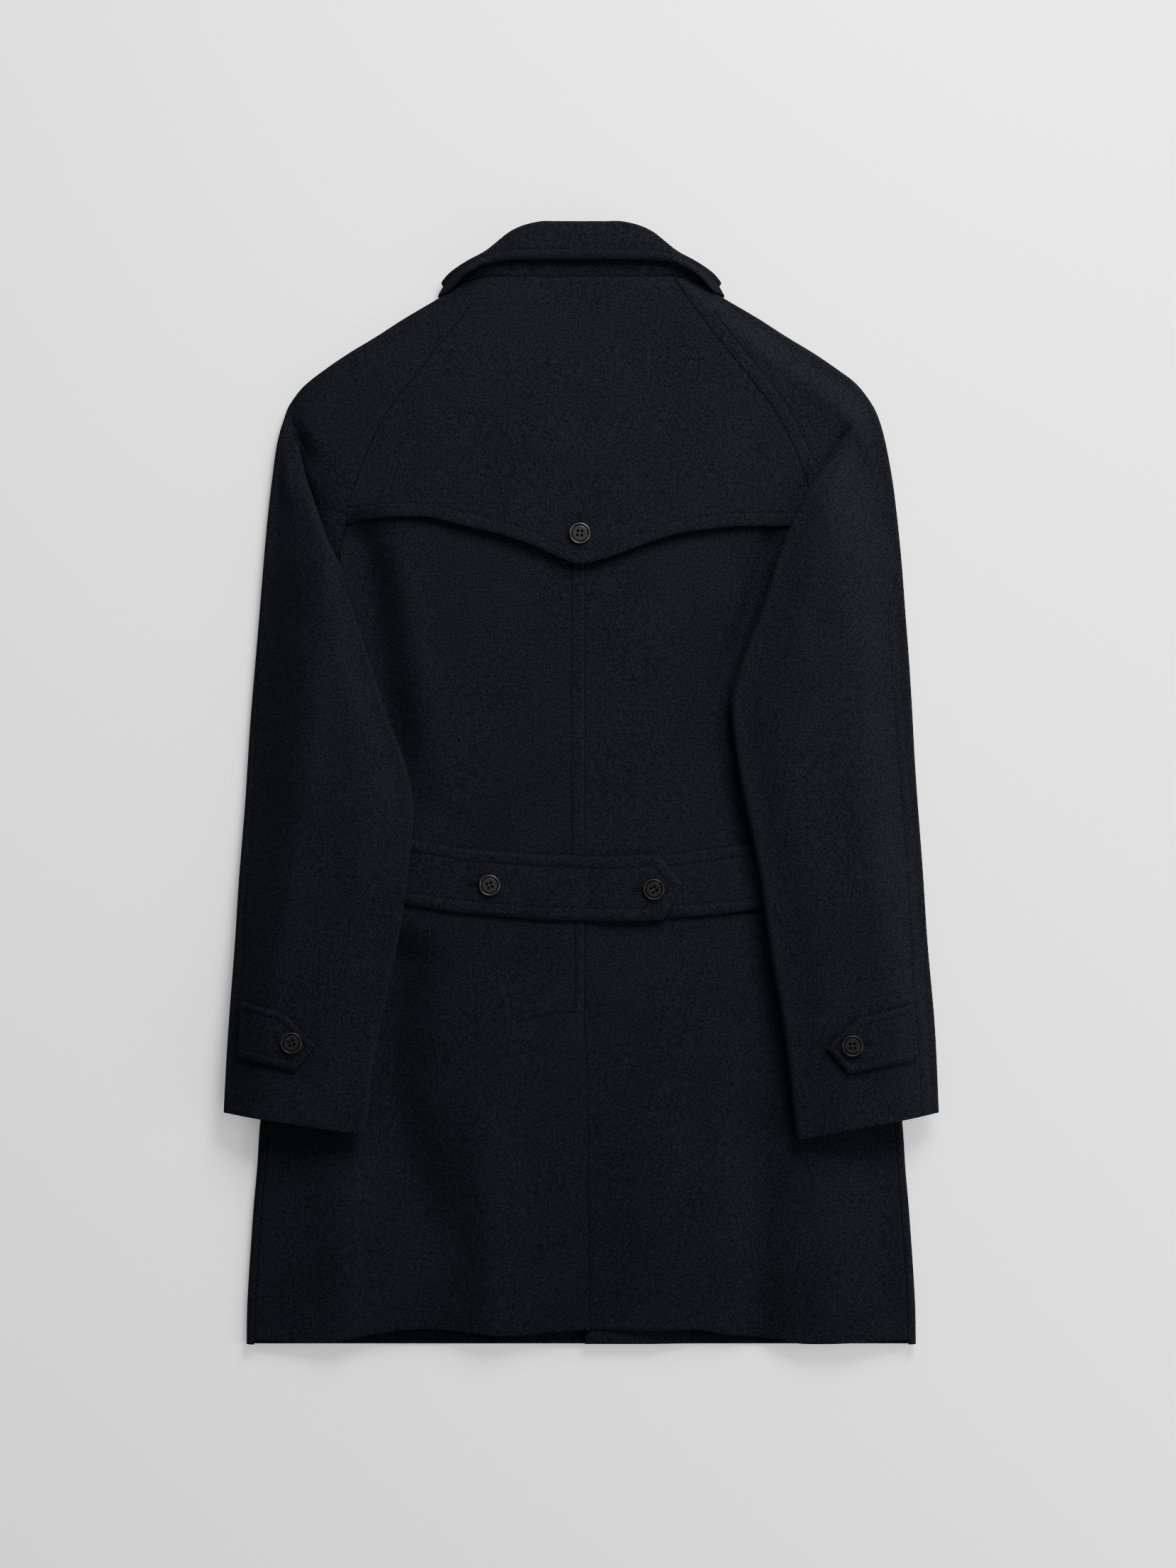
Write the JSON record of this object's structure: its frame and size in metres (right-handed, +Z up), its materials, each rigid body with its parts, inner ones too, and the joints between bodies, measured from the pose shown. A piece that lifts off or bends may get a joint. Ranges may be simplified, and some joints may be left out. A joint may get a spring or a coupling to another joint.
{
  "type": "coat",
  "caption": "Dark wool raglan coat laid flat on its front, with a turned-down collar, a buttoned flap over the shoulders, a half belt, a back vent and cuff straps.",
  "frame": {"origin": "bottom centre of the coat's box, on the surface that it lies on", "axes": "+X to the wearer's right, +Y from hem to collar, +Z up from the surface, out of the coat's back"},
  "size_m": [0.6044, 0.95, 0.0449],
  "materials": {
    "navy_wool": "matte napped wool cloth with a fine twill",
    "dark_horn": "polished dark horn with a raised rim"
  },
  "bodies": {
    "root": {"front_left": "navy_wool", "front_right": "navy_wool", "facing_left": "navy_wool", "facing_right": "navy_wool", "back_left": "navy_wool", "back_right": "navy_wool", "back_flap": "navy_wool", "collar_stand": "navy_wool", "collar_fall": "navy_wool", "sleeve_left_back": "navy_wool", "sleeve_left_front": "navy_wool", "sleeve_right_back": "navy_wool", "sleeve_right_front": "navy_wool", "half_belt_left": "navy_wool", "half_belt_right": "navy_wool", "cuff_strap_left": "navy_wool", "cuff_strap_right": "navy_wool", "button_flap": "dark_horn", "button_belt_left": "dark_horn", "button_belt_right": "dark_horn", "button_cuff_left": "dark_horn", "button_cuff_right": "dark_horn"}
  },
  "joints": []
}
